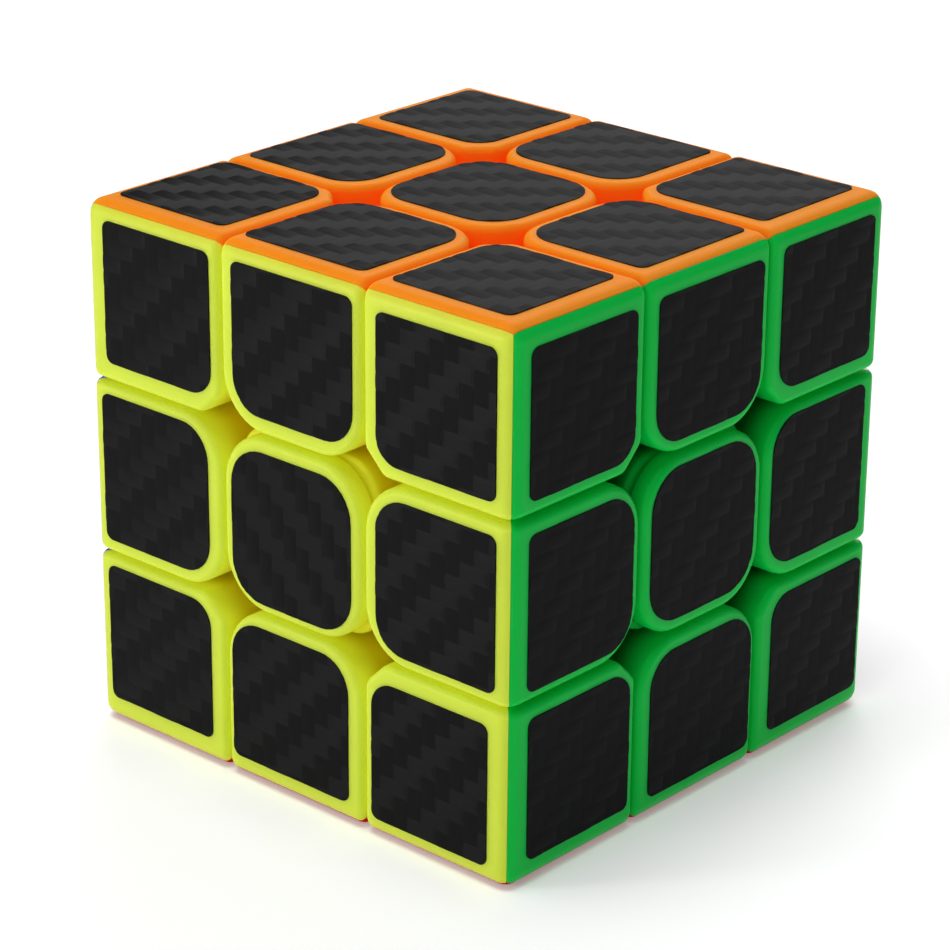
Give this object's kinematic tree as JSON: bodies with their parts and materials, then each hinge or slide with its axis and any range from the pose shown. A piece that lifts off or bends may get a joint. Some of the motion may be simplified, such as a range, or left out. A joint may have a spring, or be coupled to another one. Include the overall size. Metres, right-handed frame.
{
  "type": "twisty puzzle cube",
  "caption": "Twisty puzzle cube in bright plastic: sprung core, centres, hollow edges and corners whose layers turn about three axes.",
  "frame": {"origin": "middle of the core, where the six turning axes meet", "axes": "+Z towards the orange face, +X towards the green face, -Y towards the yellow face"},
  "size_m": [0.056, 0.056, 0.056],
  "materials": {
    "plastic_orange": "satin",
    "plastic_red": "satin",
    "plastic_yellow": "satin",
    "plastic_white": "satin",
    "plastic_blue": "satin",
    "plastic_green": "satin",
    "core_plastic": "satin",
    "steel": "satin",
    "carbon_sticker": "satin"
  },
  "bodies": {
    "hub": {"core": "core_plastic", "screw_up": "steel", "screw_down": "steel", "screw_front": "steel", "screw_back": "steel", "screw_left": "steel", "screw_right": "steel", "washer_up": "steel", "washer_down": "steel", "washer_front": "steel", "washer_back": "steel", "washer_left": "steel", "washer_right": "steel", "spring_up": "steel", "spring_down": "steel", "spring_front": "steel", "spring_back": "steel", "spring_left": "steel", "spring_right": "steel"},
    "centre_up": {"centre_base_up": "plastic_orange"},
    "cap_up": {"centre_cap_up": "plastic_orange"},
    "centre_down": {"centre_base_down": "plastic_red"},
    "cap_down": {"centre_cap_down": "plastic_red"},
    "centre_front": {"centre_base_front": "plastic_yellow"},
    "cap_front": {"centre_cap_front": "plastic_yellow"},
    "centre_back": {"centre_base_back": "plastic_white"},
    "cap_back": {"centre_cap_back": "plastic_white"},
    "centre_left": {"centre_base_left": "plastic_blue"},
    "cap_left": {"centre_cap_left": "plastic_blue"},
    "centre_right": {"centre_base_right": "plastic_green"},
    "cap_right": {"centre_cap_right": "plastic_green"},
    "edge_up_front": {"edge_up_front": "plastic_orange"},
    "edge_up_back": {"edge_up_back": "plastic_orange"},
    "edge_up_left": {"edge_up_left": "plastic_orange"},
    "edge_up_right": {"edge_up_right": "plastic_orange"},
    "edge_down_front": {"edge_down_front": "plastic_red"},
    "edge_down_back": {"edge_down_back": "plastic_red"},
    "edge_down_left": {"edge_down_left": "plastic_red"},
    "edge_down_right": {"edge_down_right": "plastic_red"},
    "edge_front_left": {"edge_front_left": "plastic_yellow"},
    "edge_front_right": {"edge_front_right": "plastic_yellow"},
    "edge_back_left": {"edge_back_left": "plastic_white"},
    "edge_back_right": {"edge_back_right": "plastic_white"},
    "corner_up_front_left": {"corner_shell_up_front_left": "plastic_orange", "corner_foot_up_front_left": "core_plastic"},
    "corner_up_front_right": {"corner_shell_up_front_right": "plastic_orange", "corner_foot_up_front_right": "core_plastic"},
    "corner_up_back_left": {"corner_shell_up_back_left": "plastic_orange", "corner_foot_up_back_left": "core_plastic"},
    "corner_up_back_right": {"corner_shell_up_back_right": "plastic_orange", "corner_foot_up_back_right": "core_plastic"},
    "corner_down_front_left": {"corner_shell_down_front_left": "plastic_red", "corner_foot_down_front_left": "core_plastic"},
    "corner_down_front_right": {"corner_shell_down_front_right": "plastic_red", "corner_foot_down_front_right": "core_plastic"},
    "corner_down_back_left": {"corner_shell_down_back_left": "plastic_red", "corner_foot_down_back_left": "core_plastic"},
    "corner_down_back_right": {"corner_shell_down_back_right": "plastic_red", "corner_foot_down_back_right": "core_plastic"}
  },
  "joints": [
    {"name": "face_turn_up", "type": "hinge", "parent": "hub", "child": "centre_up", "pos_m": [0, 0, 0], "axis": [0, 0, 1], "continuous": true},
    {"name": "pull_cap_up", "type": "slide", "parent": "centre_up", "child": "cap_up", "axis": [0, 0, 1], "range_m": [0, 0.008]},
    {"name": "face_turn_down", "type": "hinge", "parent": "hub", "child": "centre_down", "pos_m": [0, 0, 0], "axis": [0, 0, -1], "continuous": true},
    {"name": "pull_cap_down", "type": "slide", "parent": "centre_down", "child": "cap_down", "axis": [0, 0, -1], "range_m": [0, 0.008]},
    {"name": "face_turn_front", "type": "hinge", "parent": "hub", "child": "centre_front", "pos_m": [0, 0, 0], "axis": [0, -1, 0], "continuous": true},
    {"name": "pull_cap_front", "type": "slide", "parent": "centre_front", "child": "cap_front", "axis": [0, -1, 0], "range_m": [0, 0.008]},
    {"name": "face_turn_back", "type": "hinge", "parent": "hub", "child": "centre_back", "pos_m": [0, 0, 0], "axis": [0, 1, 0], "continuous": true},
    {"name": "pull_cap_back", "type": "slide", "parent": "centre_back", "child": "cap_back", "axis": [0, 1, 0], "range_m": [0, 0.008]},
    {"name": "face_turn_left", "type": "hinge", "parent": "hub", "child": "centre_left", "pos_m": [0, 0, 0], "axis": [-1, 0, 0], "continuous": true},
    {"name": "pull_cap_left", "type": "slide", "parent": "centre_left", "child": "cap_left", "axis": [-1, 0, 0], "range_m": [0, 0.008]},
    {"name": "face_turn_right", "type": "hinge", "parent": "hub", "child": "centre_right", "pos_m": [0, 0, 0], "axis": [1, 0, 0], "continuous": true},
    {"name": "pull_cap_right", "type": "slide", "parent": "centre_right", "child": "cap_right", "axis": [1, 0, 0], "range_m": [0, 0.008]},
    {"name": "edge_up_front_follows_up", "type": "hinge", "parent": "centre_front", "child": "edge_up_front", "pos_m": [0, 0, 0], "axis": [0, 0, 1], "continuous": true},
    {"name": "edge_up_back_follows_up", "type": "hinge", "parent": "centre_back", "child": "edge_up_back", "pos_m": [0, 0, 0], "axis": [0, 0, 1], "continuous": true},
    {"name": "edge_up_left_follows_left", "type": "hinge", "parent": "centre_up", "child": "edge_up_left", "pos_m": [0, 0, 0], "axis": [-1, 0, 0], "continuous": true},
    {"name": "edge_up_right_follows_right", "type": "hinge", "parent": "centre_up", "child": "edge_up_right", "pos_m": [0, 0, 0], "axis": [1, 0, 0], "continuous": true},
    {"name": "edge_down_front_follows_down", "type": "hinge", "parent": "centre_front", "child": "edge_down_front", "pos_m": [0, 0, 0], "axis": [0, 0, -1], "continuous": true},
    {"name": "edge_down_back_follows_down", "type": "hinge", "parent": "centre_back", "child": "edge_down_back", "pos_m": [0, 0, 0], "axis": [0, 0, -1], "continuous": true},
    {"name": "edge_down_left_follows_left", "type": "hinge", "parent": "centre_down", "child": "edge_down_left", "pos_m": [0, 0, 0], "axis": [-1, 0, 0], "continuous": true},
    {"name": "edge_down_right_follows_right", "type": "hinge", "parent": "centre_down", "child": "edge_down_right", "pos_m": [0, 0, 0], "axis": [1, 0, 0], "continuous": true},
    {"name": "edge_front_left_follows_front", "type": "hinge", "parent": "centre_left", "child": "edge_front_left", "pos_m": [0, 0, 0], "axis": [0, -1, 0], "continuous": true},
    {"name": "edge_front_right_follows_front", "type": "hinge", "parent": "centre_right", "child": "edge_front_right", "pos_m": [0, 0, 0], "axis": [0, -1, 0], "continuous": true},
    {"name": "edge_back_left_follows_back", "type": "hinge", "parent": "centre_left", "child": "edge_back_left", "pos_m": [0, 0, 0], "axis": [0, 1, 0], "continuous": true},
    {"name": "edge_back_right_follows_back", "type": "hinge", "parent": "centre_right", "child": "edge_back_right", "pos_m": [0, 0, 0], "axis": [0, 1, 0], "continuous": true},
    {"name": "corner_up_front_left_follows_up", "type": "hinge", "parent": "edge_front_left", "child": "corner_up_front_left", "pos_m": [0, 0, 0], "axis": [0, 0, 1], "continuous": true},
    {"name": "corner_up_front_right_follows_up", "type": "hinge", "parent": "edge_front_right", "child": "corner_up_front_right", "pos_m": [0, 0, 0], "axis": [0, 0, 1], "continuous": true},
    {"name": "corner_up_back_left_follows_up", "type": "hinge", "parent": "edge_back_left", "child": "corner_up_back_left", "pos_m": [0, 0, 0], "axis": [0, 0, 1], "continuous": true},
    {"name": "corner_up_back_right_follows_up", "type": "hinge", "parent": "edge_back_right", "child": "corner_up_back_right", "pos_m": [0, 0, 0], "axis": [0, 0, 1], "continuous": true},
    {"name": "corner_down_front_left_follows_down", "type": "hinge", "parent": "edge_front_left", "child": "corner_down_front_left", "pos_m": [0, 0, 0], "axis": [0, 0, -1], "continuous": true},
    {"name": "corner_down_front_right_follows_down", "type": "hinge", "parent": "edge_front_right", "child": "corner_down_front_right", "pos_m": [0, 0, 0], "axis": [0, 0, -1], "continuous": true},
    {"name": "corner_down_back_left_follows_down", "type": "hinge", "parent": "edge_back_left", "child": "corner_down_back_left", "pos_m": [0, 0, 0], "axis": [0, 0, -1], "continuous": true},
    {"name": "corner_down_back_right_follows_down", "type": "hinge", "parent": "edge_back_right", "child": "corner_down_back_right", "pos_m": [0, 0, 0], "axis": [0, 0, -1], "continuous": true}
  ],
  "couplings": [
    {"joint": "edge_up_front_follows_up", "follows": "face_turn_up", "ratio": 1},
    {"joint": "edge_up_back_follows_up", "follows": "face_turn_up", "ratio": 1},
    {"joint": "edge_up_left_follows_left", "follows": "face_turn_left", "ratio": 1},
    {"joint": "edge_up_right_follows_right", "follows": "face_turn_right", "ratio": 1},
    {"joint": "edge_down_front_follows_down", "follows": "face_turn_down", "ratio": 1},
    {"joint": "edge_down_back_follows_down", "follows": "face_turn_down", "ratio": 1},
    {"joint": "edge_down_left_follows_left", "follows": "face_turn_left", "ratio": 1},
    {"joint": "edge_down_right_follows_right", "follows": "face_turn_right", "ratio": 1},
    {"joint": "edge_front_left_follows_front", "follows": "face_turn_front", "ratio": 1},
    {"joint": "edge_front_right_follows_front", "follows": "face_turn_front", "ratio": 1},
    {"joint": "edge_back_left_follows_back", "follows": "face_turn_back", "ratio": 1},
    {"joint": "edge_back_right_follows_back", "follows": "face_turn_back", "ratio": 1},
    {"joint": "corner_up_front_left_follows_up", "follows": "face_turn_up", "ratio": 1},
    {"joint": "corner_up_front_right_follows_up", "follows": "face_turn_up", "ratio": 1},
    {"joint": "corner_up_back_left_follows_up", "follows": "face_turn_up", "ratio": 1},
    {"joint": "corner_up_back_right_follows_up", "follows": "face_turn_up", "ratio": 1},
    {"joint": "corner_down_front_left_follows_down", "follows": "face_turn_down", "ratio": 1},
    {"joint": "corner_down_front_right_follows_down", "follows": "face_turn_down", "ratio": 1},
    {"joint": "corner_down_back_left_follows_down", "follows": "face_turn_down", "ratio": 1},
    {"joint": "corner_down_back_right_follows_down", "follows": "face_turn_down", "ratio": 1}
  ]
}
